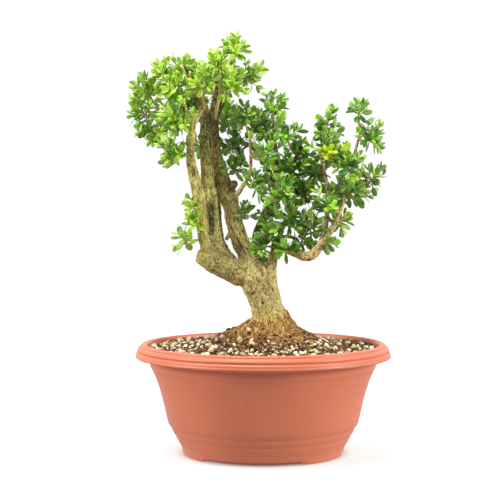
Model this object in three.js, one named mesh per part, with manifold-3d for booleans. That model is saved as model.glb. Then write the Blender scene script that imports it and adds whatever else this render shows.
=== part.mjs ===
// A boxwood bonsai in its round terracotta-coloured plastic bowl.
// Millimetres, +Z up. The origin is the middle of the pot's underside, and the front looks along -Y.
import * as THREE from 'three';
import { mergeVertices } from 'three/addons/utils/BufferGeometryUtils.js';
import Module from 'manifold-3d';

const wasm = await Module();
wasm.setup();

// Driving dimensions of the pot
const RIM_RADIUS = 175;
const POT_HEIGHT = 150;
const FOOT_RADIUS = 111;
const FOOT_HEIGHT = 4.5;
const FOOT_RING_WIDTH = 9;
const FOOT_SECTOR = 43;
const FOOT_MIDDLES = [-158, -38, 82];
const FLOOR_TOP = 9;
const BOSS_RADIUS = 24;
const DRAIN_HOLES = 6;
const DRAIN_RADIUS = 6;
const DRAIN_CIRCLE = 62;
const DRAIN_SIDES = 8;
const POT_SIDES = 32;

// The pot's section as radius and height: the stepped, tapered outside up to the rolled rim, then down inside.
const OUTER_WALL = [
  [FOOT_RADIUS, 0], [112, 9], [119, 20.5], [120.6, 26], [125, 31], [126.4, 36.5], [130.5, 42],
  [137, 70], [145, 98], [151, 112], [156, 122], [162.5, 127], [171, 130.3], [RIM_RADIUS, 135.7],
  [170.5, 142.5], [161.5, POT_HEIGHT],
];
const INNER_WALL = [
  [159.5, 149], [158.2, 141], [141.8, 98], [127, 42], [115.5, 20], [103, FLOOR_TOP],
];

// Driving dimensions of the soil, which is heaped up towards the trunk, and its clearance all round
const GAP = 0.35;
const SOIL_HEAP = [[0, 168], [45, 168], [60, 161], [72, 154.5], [85, 149.5], [105, 145.5], [160, 142]];
const SOIL_BUMP = 0.8;
const SOIL_WAVES = [{ lobes: 3, perRadius: 0.21 }, { lobes: 7, perRadius: -0.13 }];
const SOIL_RINGS = [143, 124, 105, 85, 72, 60];
const SOIL_SIDES = 30;

// Driving dimensions of the leaves and of the leafy shoots that carry them
const LEAF_LENGTH = 19;
const LEAF_WIDTH = 10.5;
const LEAF_THICKNESS = 0.7;
const LEAF_WIDEST = 0.5;
const LEAF_TIP_WIDTH = 0.44;
const LEAF_SUNK = 2;
const LEAF_ROOT_VOLUME = 0.5;
const LEAF_LEVELS = 4;
const SMALL_REACH = 22;
const SMALL_LEVELS = 3;
const LOWEST_SPREAD = 1.15;
const SPREAD_STEP = 0.15;
const TIP_SPREAD = 0.05;
const TIP_SHARE = 0.9;
const TURNS_TRIED = [0, 0.35, -0.35, 0.7, -0.7];
const LEAF_SCALES = { smallest: 0.92, range: 0.16, perClump: 0.37, perLeaf: 0.29 };
const TWIG_RADIUS = 2;
const TWIG_OVERLAP = 0.2;
const CORE_RADIUS = 10;
const CORE_TAPER = 0.5;
const CORE_SHARE = 0.5;
const CLIMB = 0.8;
const HEIGHT_COST = 0.5;
const ROUTE_SAMPLES = 20;
const FIRST_SAMPLE = 3;
const TWIG_SIDES = 3;
const CORE_SIDES = 4;
const LIGHT_PULL = 0.3;

// Limits of the solid modelling
const FLAT_TOLERANCE = 0.002;
const SAME_POINT = 1e-4;
const TOUCHING_VOLUME = 1e-6;
const UP = new THREE.Vector3(0, 0, 1);

// The wood: each limb is a route of x, y, z and radius, from its root to its end.
// The trunk has a wide root crown that stands in a plain hole in the soil.
const TRUNK = [
  [5, 0, 112, 54], [5, 0, 150, 58], [6, 0, 160, 57], [8, 0, 167, 46], [9, 0, 173, 36.5],
  [9.4, 0, 180, 29.4], [9, 0, 186, 25.4], [5.8, 0, 195, 22.2], [3.8, 0, 205, 21], [-0.8, 0, 219, 22.6],
  [-5, 0, 232, 24.2], [-8, 0, 246, 25], [-15, 2, 262, 14],
];
const TRUNK_SIDES = 16;
const TRUNK_STEPS = 12;
const ROOT_LOBE_TOP = 0.62;
const ROOT_LOBE_FADE = 0.4;
const ROOT_LOBES = [{ count: 5, depth: 0.07, phase: 0.6 }, { count: 8, depth: 0.05, phase: 2 }];
const LIMBS = [
  {
    name: 'heavy low limb to the left, ending in a sawn stub',
    sides: 9,
    steps: 5,
    route: [
      [-6, 0, 241, 21], [-30, -3, 244.5, 16.8], [-50, -6, 255, 17.6], [-67, -7, 262, 16],
      [-79, -7, 267, 12.6], [-90, -7, 270, 9],
    ],
  },
  {
    name: 'thin yellowish limb at the left',
    sides: 6,
    steps: 6,
    route: [
      [-62, -8, 262, 12], [-76, -10, 284, 10], [-84, -14, 321, 9], [-87, -15, 346, 8.4],
      [-92.5, -16, 371, 7.6], [-98.5, -18, 406, 6], [-96, -20, 447, 5], [-95, -22, 466, 4.5],
    ],
  },
  {
    name: 'its left sawn prong',
    sides: 5,
    steps: 2,
    route: [[-96, -20, 444, 4], [-103, -22, 458, 3.4], [-107, -24, 474, 3.2]],
  },
  {
    name: 'its right sawn prong',
    sides: 5,
    steps: 2,
    route: [[-96, -20, 447, 4], [-86, -20, 462, 3.4], [-80, -22, 474, 3.2]],
  },
  {
    name: 'main limb up into the crown',
    sides: 8,
    steps: 7,
    route: [
      [-44, -4, 256, 13.5], [-57, -8, 274, 11.5], [-64, -10, 290, 10.7], [-66, -10, 304, 10.6],
      [-70, -8, 346, 11], [-75, -5, 380, 10], [-78, -2, 419, 8.8], [-80, 6, 462, 7], [-86, 12, 492, 5],
    ],
  },
  {
    name: 'its upper left fork',
    sides: 5,
    steps: 3,
    route: [[-80, 5, 458, 6], [-92, 14, 488, 4.4], [-108, 14, 506, 3.2], [-122, 10, 516, 2.4]],
  },
  {
    name: 'its lower left fork',
    sides: 5,
    steps: 3,
    route: [[-79, 4, 452, 5], [-98, 18, 464, 4], [-124, 16, 468, 3], [-140, 8, 474, 2.4]],
  },
  {
    name: 'second main limb, which leans to meet the first',
    sides: 8,
    steps: 8,
    route: [
      [-8, 3, 246, 18], [-20, 8, 268, 13.5], [-31, 10, 286, 12.2], [-36, 11, 302, 11.6],
      [-41, 12, 320, 12], [-44, 12, 336, 11.6], [-50, 12, 355, 12.8], [-63, 12, 397, 9.8],
      [-69, 12, 441, 8.4], [-68, 15, 470, 6], [-63, 14, 500, 4], [-58, 6, 536, 2.6],
    ],
  },
  {
    name: 'its fork to the right in the crown',
    sides: 5,
    steps: 3,
    route: [[-69, 14, 458, 5], [-54, 8, 482, 4], [-42, 4, 508, 3.2], [-40, 2, 534, 2.4]],
  },
  {
    name: 'its knot halfway up',
    sides: 6,
    steps: 2,
    bare: true,
    route: [[-51, 10, 362, 8], [-43, 4, 366, 7], [-38, -2, 369, 5]],
  },
  {
    name: 'pale twig that climbs from it in front',
    sides: 5,
    steps: 5,
    route: [
      [-46, 8, 346, 5], [-36, 0, 354, 4], [-28, -10, 365, 3.2], [-20, -20, 378, 2.8], [-17, -26, 392, 2.6],
      [-17, -30, 408, 2.5], [-17.5, -32, 429, 2.3],
    ],
  },
  {
    name: 'crooked limb to the right, which dips and then rises',
    sides: 6,
    steps: 8,
    route: [
      [-6, 4, 248, 13], [10, 6, 263, 8], [17, 2, 274, 6.3], [27, -6, 279, 5.8], [39, -14, 276, 5.9],
      [56, -20, 269.5, 6.2], [68, -22, 272.5, 6.3], [81, -20, 290, 4.6],
    ],
  },
  {
    name: 'its outer fork',
    sides: 5,
    steps: 5,
    route: [
      [76, -21, 282, 4.6], [94, -20, 308, 3.7], [108, -16, 342, 3.1], [118, -10, 372, 2.8],
      [124, -6, 406, 2.5], [134, 0, 444, 2.2],
    ],
  },
  {
    name: 'its inner fork',
    sides: 5,
    steps: 5,
    route: [
      [76, -21, 281, 5], [84, -13, 306, 4], [88, -5, 340, 3.2], [86, 2, 372, 3], [80, 6, 404, 2.6],
      [82, 6, 438, 2.2],
    ],
  },
  {
    name: 'dark limb behind the middle',
    sides: 6,
    steps: 6,
    route: [
      [-6, 6, 250, 12], [-9, 16, 275, 8], [-8, 24, 301, 6.3], [4, 32, 330, 5.4], [14, 34, 354, 4.6],
      [20, 34, 380, 4.2], [18, 28, 408, 3.6], [14, 14, 440, 2.6],
    ],
  },
  {
    name: 'its upper right fork',
    sides: 5,
    steps: 3,
    route: [[7, 33, 338, 4.6], [26, 22, 356, 3.6], [38, 8, 382, 3], [46, 0, 408, 2.4]],
  },
  {
    name: 'its lower right fork',
    sides: 5,
    steps: 3,
    route: [[-8, 20, 286, 5], [8, 12, 298, 4], [24, 4, 308, 3.2], [44, -6, 322, 2.4]],
  },
  {
    name: 'its left fork',
    sides: 5,
    steps: 2,
    route: [[17, 34, 366, 4], [4, 40, 392, 3], [-18, 36, 424, 2.4]],
  },
  {
    name: 'pale upright stub at the right of the fork',
    sides: 6,
    steps: 2,
    bare: true,
    route: [[8, 0, 248, 9], [14, -4, 268, 6.5], [15.5, -6, 284, 5.3], [16, -7, 297, 4.9]],
  },
  {
    name: 'small pale stub in the fork',
    sides: 5,
    steps: 2,
    bare: true,
    route: [[-38, 8, 306, 4.4], [-45, 3, 301, 3.4], [-51, 0, 291, 2.8]],
  },
];

// Leafy clumps by region: the middle of each clump (x, y, z) and its reach with the leaves.
const CLUMPS = {
  left: [
    [-166, -8, 466, 23], [-159, 10, 498, 22], [-136, -6, 514, 20], [-153, 6, 438, 22],
    [-121, -22, 411, 22], [-118, -44, 452, 25], [-118, -34, 490, 24], [-111, 2, 522, 22],
    [-82, -42, 502, 24], [-65, -16, 526, 22], [-39, -4, 550, 21], [-17, 10, 517, 20], [-40, -32, 503, 22],
    [-96, 46, 484, 26], [-94, 44, 518, 22], [-128, 38, 456, 25], [-54, 46, 462, 26], [-52, 38, 510, 23],
    [-90, 8, 422, 14],
  ],
  sprig: [[-93, -14, 338, 12], [-93, -17, 314, 12], [-107, -14, 290, 14]],
  middle: [
    [-24, -10, 456, 21], [0, 14, 450, 23], [13, -10, 472, 19], [31, -24, 438, 20], [50, 4, 412, 21],
    [4, -36, 408, 24], [40, -10, 388, 23], [-8, -20, 368, 20], [24, -38, 354, 24], [53, 12, 356, 22],
    [10, 8, 326, 18], [36, -20, 316, 23], [54, 2, 290, 18], [-40, 42, 425, 24], [18, 52, 384, 26],
    [-38, 4, 390, 18], [-24, 18, 327, 14], [-2, -14, 284, 15], [30, -22, 278, 12], [11, -14, 298, 16],
  ],
  right: [
    [86, -4, 447, 21], [87, -24, 416, 23], [130, 4, 466, 13], [145, -8, 432, 21], [114, -30, 394, 22],
    [150, 2, 376, 18], [74, 18, 384, 22], [116, -8, 360, 22], [130, 12, 355, 15], [84, -30, 338, 21],
    [64, -2, 312, 19], [86, -16, 291, 16], [104, 32, 405, 18], [104, 30, 356, 22], [106, -6, 318, 14],
  ],
};

// Materials, from the photograph
const materials = {
  pot: new THREE.MeshStandardMaterial({ color: 0xc4745a, roughness: 0.55, metalness: 0 }),
  soil: new THREE.MeshStandardMaterial({ color: 0x77573a, roughness: 1, metalness: 0 }),
  wood: new THREE.MeshStandardMaterial({ color: 0x9e9257, roughness: 0.9, metalness: 0 }),
  left: new THREE.MeshStandardMaterial({ color: 0x86aa3c, roughness: 0.5, metalness: 0 }),
  middle: new THREE.MeshStandardMaterial({ color: 0x4c7a34, roughness: 0.45, metalness: 0 }),
  right: new THREE.MeshStandardMaterial({ color: 0x5a8638, roughness: 0.45, metalness: 0 }),
  sprig: new THREE.MeshStandardMaterial({ color: 0xa9cf57, roughness: 0.5, metalness: 0 }),
};

// Geometry and solids

function solidOf(geometry) {
  geometry.deleteAttribute('normal');
  geometry.deleteAttribute('uv');
  const merged = mergeVertices(geometry, SAME_POINT);
  const index = merged.index.array;
  const triangles = [];
  for (let i = 0; i < index.length; i += 3) {
    const [a, b, c] = [index[i], index[i + 1], index[i + 2]];
    if (a !== b && b !== c && c !== a) triangles.push(a, b, c);
  }
  return new wasm.Manifold(new wasm.Mesh({
    numProp: 3,
    vertProperties: new Float32Array(merged.attributes.position.array),
    triVerts: new Uint32Array(triangles),
  }));
}

function geometryOf(solid) {
  const mesh = solid.getMesh();
  const geometry = new THREE.BufferGeometry();
  geometry.setAttribute('position', new THREE.BufferAttribute(new Float32Array(mesh.vertProperties), 3));
  geometry.setIndex(new THREE.BufferAttribute(new Uint32Array(mesh.triVerts), 1));
  geometry.computeVertexNormals();
  return geometry;
}

// The main body of a join or cut, without loose scraps and without the spare points that lie within flat faces.
function cleanBody(solid) {
  const bodies = solid.asOriginal().simplify(FLAT_TOLERANCE).decompose();
  return bodies.reduce((best, body) => (body.volume() > best.volume() ? body : best), bodies[0]);
}

function joined(solids) {
  return solids.reduce((sum, solid) => sum.add(solid));
}

function boxesMeet(a, b) {
  const boxA = a.boundingBox();
  const boxB = b.boundingBox();
  return [0, 1, 2].every((i) => boxA.min[i] < boxB.max[i] && boxB.min[i] < boxA.max[i]);
}

function meets(a, b) {
  return boxesMeet(a, b) && a.intersect(b).volume() > TOUCHING_VOLUME;
}

// Two directions square to an axis, turned about it.
function directionsAcross(axis, turn = 0) {
  const reference = Math.abs(axis.y) < 0.8 ? new THREE.Vector3(0, 1, 0) : new THREE.Vector3(1, 0, 0);
  const first = new THREE.Vector3().crossVectors(reference, axis).normalize().applyAxisAngle(axis, turn);
  const second = new THREE.Vector3().crossVectors(first, axis);
  return [first, second];
}

// A limb along a route of x, y, z and radius. grow makes it fatter and longer all round.
function limbSolid(route, sides, steps, { grow = 0, turn = 0, lobe = () => 1 } = {}) {
  const path = new THREE.CatmullRomCurve3(route.map(([x, y, z]) => new THREE.Vector3(x, y, z)));
  const radii = new THREE.CatmullRomCurve3(route.map((point) => new THREE.Vector3(point[3], 0, 0)));
  const geometry = new THREE.CylinderGeometry(1, 1, 1, sides, steps);
  const position = geometry.attributes.position;
  const vertex = new THREE.Vector3();
  for (let i = 0; i < position.count; i += 1) {
    vertex.fromBufferAttribute(position, i);
    const t = vertex.y + 0.5;
    const tangent = path.getTangent(t);
    const [across, side] = directionsAcross(tangent, turn);
    const angle = Math.atan2(vertex.z, vertex.x);
    const radius = Math.hypot(vertex.x, vertex.z) * (radii.getPoint(t).x * lobe(angle, t) + grow);
    const place = path.getPoint(t);
    place.addScaledVector(across, Math.cos(angle) * radius);
    place.addScaledVector(side, Math.sin(angle) * radius);
    if (t < 0.001) place.addScaledVector(tangent, -grow);
    if (t > 0.999) place.addScaledVector(tangent, grow);
    position.setXYZ(i, place.x, place.y, place.z);
  }
  return solidOf(geometry);
}

// Pot

function latheSolid(profile, sides) {
  const points = profile.map(([r, z]) => new THREE.Vector2(r, z));
  return solidOf(new THREE.LatheGeometry(points, sides).rotateX(Math.PI / 2));
}

// A sector of a ring, from below the ground plane up to a height.
function sectorSolid(inner, outer, fromDegrees, toDegrees, height) {
  const from = THREE.MathUtils.degToRad(fromDegrees);
  const to = THREE.MathUtils.degToRad(toDegrees);
  const shape = new THREE.Shape();
  shape.absarc(0, 0, outer, from, to, false);
  shape.absarc(0, 0, inner, to, from, true);
  const settings = { depth: 2 * height, bevelEnabled: false, curveSegments: 6 };
  const geometry = new THREE.ExtrudeGeometry(shape, settings);
  return solidOf(geometry.translate(0, 0, -height));
}

function potSolid() {
  const ringInside = FOOT_RADIUS - FOOT_RING_WIDTH;
  const underside = [
    [0, 0], [BOSS_RADIUS, 0], [BOSS_RADIUS + 1, FOOT_HEIGHT], [ringInside - 1, FOOT_HEIGHT], [ringInside, 0],
  ];
  let pot = latheSolid([...underside, ...OUTER_WALL, ...INNER_WALL, [0, FLOOR_TOP]], POT_SIDES);
  for (const middle of FOOT_MIDDLES) {
    const from = middle + FOOT_SECTOR / 2;
    const to = middle + 360 / FOOT_MIDDLES.length - FOOT_SECTOR / 2;
    pot = pot.subtract(sectorSolid(ringInside - 5, RIM_RADIUS, from, to, FOOT_HEIGHT));
  }
  for (let i = 0; i < DRAIN_HOLES; i += 1) {
    const angle = ((i + 0.5) / DRAIN_HOLES) * 2 * Math.PI;
    const hole = new THREE.CylinderGeometry(DRAIN_RADIUS, DRAIN_RADIUS, 3 * FLOOR_TOP, DRAIN_SIDES);
    hole.rotateX(Math.PI / 2);
    hole.translate(DRAIN_CIRCLE * Math.cos(angle), DRAIN_CIRCLE * Math.sin(angle), 0);
    pot = pot.subtract(solidOf(hole));
  }
  return pot;
}

// Wood

// The trunk flares into roots: its outline has lobes that are deepest at the soil and fade up the trunk.
function rootLobe(angle, t) {
  const depth = THREE.MathUtils.clamp((ROOT_LOBE_TOP - t) / ROOT_LOBE_FADE, 0, 1);
  const waves = ROOT_LOBES.map((lobe) => lobe.depth * Math.cos(lobe.count * angle + lobe.phase));
  return 1 + depth * (waves[0] + waves[1]);
}

function woodSolid(grow) {
  const trunk = limbSolid(TRUNK, TRUNK_SIDES, TRUNK_STEPS, { grow, lobe: rootLobe });
  const limbs = LIMBS.map(({ route, sides, steps }) => limbSolid(route, sides, steps, { grow }));
  return joined([trunk, ...limbs]);
}

// Soil

// The height of the heap, on straight lines between its named rings, with low bumps.
function soilHeight(radius, angle) {
  const outer = SOIL_HEAP.findIndex(([ring]) => ring > radius);
  const [[fromRing, fromHeight], [toRing, toHeight]] = [SOIL_HEAP[outer - 1], SOIL_HEAP[outer]];
  const heap = THREE.MathUtils.mapLinear(radius, fromRing, toRing, fromHeight, toHeight);
  const bumps = SOIL_WAVES.map(({ lobes, perRadius }) => Math.sin(lobes * angle + perRadius * radius));
  return heap + SOIL_BUMP * (bumps[0] + bumps[1]);
}

// The soil follows the inside of the pot's flat sides, and its top points are then set to the heap's height.
function soilSolid(wood) {
  const flatness = Math.cos(Math.PI / POT_SIDES);
  const wall = INNER_WALL.slice(1).reverse().map(([r, z]) => [r * flatness - GAP, z + GAP]);
  const top = SOIL_RINGS.map((r) => [r, POT_HEIGHT]);
  const outline = [[0, FLOOR_TOP + GAP], ...wall, ...top, [0, POT_HEIGHT]];
  const profile = outline.map(([r, z]) => new THREE.Vector2(r, z));
  const geometry = new THREE.LatheGeometry(profile, SOIL_SIDES).rotateX(Math.PI / 2);
  const position = geometry.attributes.position;
  for (let i = 0; i < position.count; i += 1) {
    if (position.getZ(i) < POT_HEIGHT - 1) continue;
    const radius = Math.hypot(position.getX(i), position.getY(i));
    const angle = radius < 1 ? 0 : Math.atan2(position.getY(i), position.getX(i));
    position.setZ(i, soilHeight(radius, angle));
  }
  return solidOf(geometry).subtract(wood);
}

// Foliage

// A flat blade with a blunt five-point outline. grow makes it bigger all round.
function leafSolid(root, along, upper, length, width, grow = 0) {
  const normal = upper.clone().addScaledVector(along, -upper.dot(along)).normalize();
  const across = new THREE.Vector3().crossVectors(along, normal);
  const outline = new THREE.Shape();
  outline.moveTo(-grow, 0);
  outline.lineTo(LEAF_WIDEST * length, width / 2 + grow);
  outline.lineTo(length + grow, LEAF_TIP_WIDTH * width / 2 + grow);
  outline.lineTo(length + grow, -LEAF_TIP_WIDTH * width / 2 - grow);
  outline.lineTo(LEAF_WIDEST * length, -width / 2 - grow);
  outline.closePath();
  const thickness = LEAF_THICKNESS + 2 * grow;
  const geometry = new THREE.ExtrudeGeometry(outline, { depth: thickness, bevelEnabled: false });
  geometry.translate(0, 0, -thickness / 2);
  geometry.applyMatrix4(new THREE.Matrix4().makeBasis(along, across.negate(), normal).setPosition(root));
  return solidOf(geometry);
}

// The nearest place on the middle line of a limb that isn't a bare stub.
// One above the clump counts as further, because twigs climb.
function nearestOnWood(point) {
  const cost = (place) => place.distanceTo(point) + HEIGHT_COST * Math.max(0, place.z - point.z);
  const places = LIMBS.filter(({ bare }) => !bare).flatMap(({ route }) => {
    const path = new THREE.CatmullRomCurve3(route.map(([x, y, z]) => new THREE.Vector3(x, y, z)));
    return path.getPoints(ROUTE_SAMPLES).slice(FIRST_SAMPLE);
  });
  return places.reduce((best, place) => (cost(place) < cost(best) ? place : best));
}

// The plan of one clump: a twig from the wood and a square tapered core, with pairs of leaves on its flat
// sides, each pair a quarter turn from the last, and one leaf at the tip.
function planClump([x, y, z, reach], number) {
  const middle = new THREE.Vector3(x, y, z);
  const foot = nearestOnWood(middle);
  const axis = middle.clone().sub(foot).normalize().addScaledVector(UP, CLIMB).normalize();
  const start = middle.clone().addScaledVector(axis, -CORE_SHARE * reach);
  const end = middle.clone().addScaledVector(axis, CORE_SHARE * reach);
  const levels = reach < SMALL_REACH ? SMALL_LEVELS : LEAF_LEVELS;
  const leaves = [];
  for (let level = 0; level < levels; level += 1) {
    const share = (level + 0.5) / levels;
    const turn = number + level * Math.PI / 2;
    const spread = LOWEST_SPREAD - SPREAD_STEP * level;
    leaves.push({ share, turn, spread, level }, { share, turn: turn + Math.PI, spread, level });
  }
  leaves.push({ share: TIP_SHARE, turn: number, spread: TIP_SPREAD, level: LEAF_LEVELS });
  return { middle, reach, foot, axis, start, end, number, leaves, blades: [] };
}

// The twig and the core of a clump, which carry its leaves.
function frameSolid({ foot, axis, start, end, reach, number }, grow) {
  const inside = start.clone().addScaledVector(axis, TWIG_OVERLAP * reach);
  const twigRoute = [foot, inside].map((point) => [...point.toArray(), TWIG_RADIUS]);
  const coreRoute = [[...start.toArray(), CORE_RADIUS], [...end.toArray(), CORE_TAPER * CORE_RADIUS]];
  const twig = limbSolid(twigRoute, TWIG_SIDES, 1, { grow });
  const core = limbSolid(coreRoute, CORE_SIDES, 1, { grow, turn: number + Math.PI / 4 });
  return core.add(twig);
}

// A leaf leans away from its stem by its spread, with its upper side towards the tip and the sky.
function leafCandidate(plan, leaf, scale, attempt, grow) {
  const [radial] = directionsAcross(plan.axis, leaf.turn + TURNS_TRIED[attempt]);
  const lean = Math.sin(leaf.spread);
  const rise = Math.cos(leaf.spread);
  const along = plan.axis.clone().multiplyScalar(rise).addScaledVector(radial, lean);
  const upper = plan.axis.clone().multiplyScalar(lean).addScaledVector(radial, -rise);
  upper.addScaledVector(UP, LIGHT_PULL).normalize();
  const side = Math.SQRT1_2 * CORE_RADIUS * THREE.MathUtils.lerp(1, CORE_TAPER, leaf.share);
  const root = plan.start.clone().lerp(plan.end, leaf.share);
  if (leaf.level < LEAF_LEVELS) root.addScaledVector(radial, side - LEAF_SUNK);
  return leafSolid(root, along, upper, LEAF_LENGTH * scale, LEAF_WIDTH * scale, grow);
}

// All sprays. Each frame is cut clear of the wood and of the frames before it, and then the leaves go on.
function makeSprays(woodFat) {
  const plans = [];
  for (const [region, clumps] of Object.entries(CLUMPS)) {
    clumps.forEach((clump, i) => {
      const name = `spray_${region}_${String(i + 1).padStart(2, '0')}`;
      plans.push({ ...planClump(clump, plans.length), region, name });
    });
  }
  for (const plan of plans) {
    let frame = frameSolid(plan, 0).subtract(woodFat);
    for (const other of plans) {
      if (other === plan) break;
      if (boxesMeet(frame, other.fat)) frame = frame.subtract(other.fat);
    }
    plan.frame = cleanBody(frame);
    plan.fat = frameSolid(plan, GAP);
  }
  const rounds = Math.max(...plans.map((plan) => plan.leaves.length));
  for (let round = 0; round < rounds; round += 1) {
    for (const plan of plans.filter(({ leaves }) => round < leaves.length)) {
      placeLeaf(plan, plan.leaves[round], plans, woodFat);
    }
  }
  return plans;
}

// Adds a leaf where it clears the wood, the other sprays and its own spray's other pairs, or leaves it out.
function placeLeaf(plan, leaf, plans, woodFat) {
  const { smallest, range, perClump, perLeaf } = LEAF_SCALES;
  const scale = smallest + range * ((plan.number * perClump + plan.blades.length * perLeaf) % 1);
  for (let attempt = 0; attempt < TURNS_TRIED.length; attempt += 1) {
    const fat = leafCandidate(plan, leaf, scale, attempt, GAP);
    if (meets(fat, woodFat)) continue;
    const blocked = plans.some((other) => {
      const blades = other.blades.filter((blade) => other !== plan || blade.level !== leaf.level);
      return (other !== plan && meets(fat, other.frame)) || blades.some((blade) => meets(fat, blade.solid));
    });
    if (blocked) continue;
    const solid = leafCandidate(plan, leaf, scale, attempt, 0);
    if (solid.intersect(plan.frame).volume() < LEAF_ROOT_VOLUME) continue;
    plan.blades.push({ solid, level: leaf.level });
    return;
  }
}

// Assembly

const bonsai = new THREE.Group();

function addNode(name, solid, material) {
  const mesh = new THREE.Mesh(geometryOf(solid), material.clone());
  mesh.name = name;
  bonsai.add(mesh);
}

const woodFat = woodSolid(GAP);
addNode('pot', cleanBody(potSolid()), materials.pot);
addNode('soil', cleanBody(soilSolid(woodFat)), materials.soil);
addNode('tree', cleanBody(woodSolid(0)), materials.wood);
for (const plan of makeSprays(woodFat)) {
  const solid = cleanBody(joined([plan.frame, ...plan.blades.map((blade) => blade.solid)]));
  addNode(plan.name, solid, materials[plan.region]);
}

export default bonsai;
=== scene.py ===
"""The looks of a boxwood bonsai in its round terracotta-coloured bowl."""

import math
import random

import bpy
import numpy as np
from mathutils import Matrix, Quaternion, Vector, noise
from mathutils.bvhtree import BVHTree
from mathutils.kdtree import KDTree


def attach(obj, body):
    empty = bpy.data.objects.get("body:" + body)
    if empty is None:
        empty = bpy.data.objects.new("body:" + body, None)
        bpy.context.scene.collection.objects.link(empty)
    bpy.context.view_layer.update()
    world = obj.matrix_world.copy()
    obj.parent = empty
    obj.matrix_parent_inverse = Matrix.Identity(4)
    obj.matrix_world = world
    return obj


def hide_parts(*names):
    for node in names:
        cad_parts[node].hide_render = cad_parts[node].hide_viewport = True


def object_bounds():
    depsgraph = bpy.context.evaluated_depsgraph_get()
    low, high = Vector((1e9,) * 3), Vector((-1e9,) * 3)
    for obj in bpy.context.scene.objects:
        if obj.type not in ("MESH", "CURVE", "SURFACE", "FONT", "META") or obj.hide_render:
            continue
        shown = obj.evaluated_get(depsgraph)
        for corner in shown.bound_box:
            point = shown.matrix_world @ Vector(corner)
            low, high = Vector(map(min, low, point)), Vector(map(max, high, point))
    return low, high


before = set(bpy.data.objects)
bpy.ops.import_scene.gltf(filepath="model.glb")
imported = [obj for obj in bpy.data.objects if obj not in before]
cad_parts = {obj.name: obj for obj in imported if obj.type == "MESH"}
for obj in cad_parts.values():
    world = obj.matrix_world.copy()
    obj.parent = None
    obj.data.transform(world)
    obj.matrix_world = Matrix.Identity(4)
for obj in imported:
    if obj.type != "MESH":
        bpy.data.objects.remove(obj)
cad_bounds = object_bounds()

MM = 0.001
UP = np.array([0.0, 0.0, 1.0])
BOX_LOW, BOX_HIGH = (np.array(corner) / MM for corner in cad_bounds)

# Driving dimensions, in millimetres
POT_SIDES = 192
RIM_RADIUS = 175.0
POT_HEIGHT = 150.0
FOOT_HEIGHT = 4.5
FOOT_MIDDLES = (-158, -38, 82)
FOOT_SECTOR = 43
FOOT_SLOPE = 2.2
FOOT_RING = 102
FOOT_TOP = FOOT_HEIGHT + 0.5
SOIL_RADIUS = 158.0
SOIL_HEAP_RADII = [0, 45, 60, 72, 85, 105, 158]
SOIL_HEAP_HEIGHTS = [168, 168, 161, 154.5, 149.5, 145.5, 142]
SOIL_SIDES = 120
SOIL_RINGS = 50
SOIL_BUMP = 22
SOIL_BUMP_DEPTH = 1.4
SOIL_PATCH = 9
HEAP_MIDDLE = 2
ROOT_MIDDLE = 7
WOOD_VOXEL = 1.45 * 1
LEAF_LENGTH = 18.5
LEAF_WIDTH = 9.8
LEAF_THICKNESS = 0.6
PAIR_SPACING = 7.0
MISSING_LEAVES = 0.06
FLOOR_REACH = 2600.0
FLOOR_THICKNESS = 20.0

# The pot's section as radius and height: outside from the foot up to the crest of the rim, then down inside
OUTER_WALL = [
    (110, 0), (110.4, 2), (110.8, FOOT_HEIGHT), (112, 9.4), (115, 15), (118.4, 20.5), (120.2, 24.4),
    (120, 25.6), (121.8, 27), (124.4, 31), (125.8, 35), (125.7, 36.4), (127.8, 38), (130, 41), (131.2, 44),
    (133.4, 54), (137, 70), (141, 85), (145, 98), (149, 108), (151, 112), (151.6, 114.5), (152.6, 115.4),
    (154.4, 118.6), (155.2, 121.8), (155.6, 126.4), (156.2, 129.6), (158, 131), (164, 131.2), (170, 131.2),
    (173.6, 131.4), (174.8, 132.2), (RIM_RADIUS, 133.4), (174.6, 134.8), (174, 135.5), (174.3, 136.2),
    (173.9, 137.8), (173, 139.2), (171.2, 139.9), (170.7, 140.5), (172.3, 141.3), (172.3, 142.6),
    (171.2, 144.6), (169.6, 146), (168, 146.6), (167.5, 147.1), (168, 147.8), (167, 149), (165, 149.8),
    (162.6, POT_HEIGHT), (160.8, 149.8),
]
INNER_WALL = [
    (159.6, 149), (159, 147), (158.2, 141), (155, 128), (149, 112), (142, 98), (134.6, 70), (127, 42),
    (118, 24), (108, 12), (100, 9), (60, 9), (20, 9), (0, 9),
]
SOIL_WALL = [
    (0, 9.4), (60, 9.4), (102, 9.4), (107, 13), (117, 25), (126.4, 42), (134, 70), (141.4, 98), (148, 111),
    (154, 128), (SOIL_RADIUS - 0.6, 139),
]
UNDERSIDE = [
    (0, 0), (23.4, 0), (24.4, FOOT_HEIGHT), (60, FOOT_HEIGHT), (100.6, FOOT_HEIGHT), (FOOT_RING, 0), (106, 0),
]


def limb(tint, route, cut=False, bare=False):
    """A limb: its bark colour and route, whether its end is sawn off and whether it carries no twigs."""
    return {"tint": tint, "route": route, "cut": cut, "bare": bare}


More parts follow.
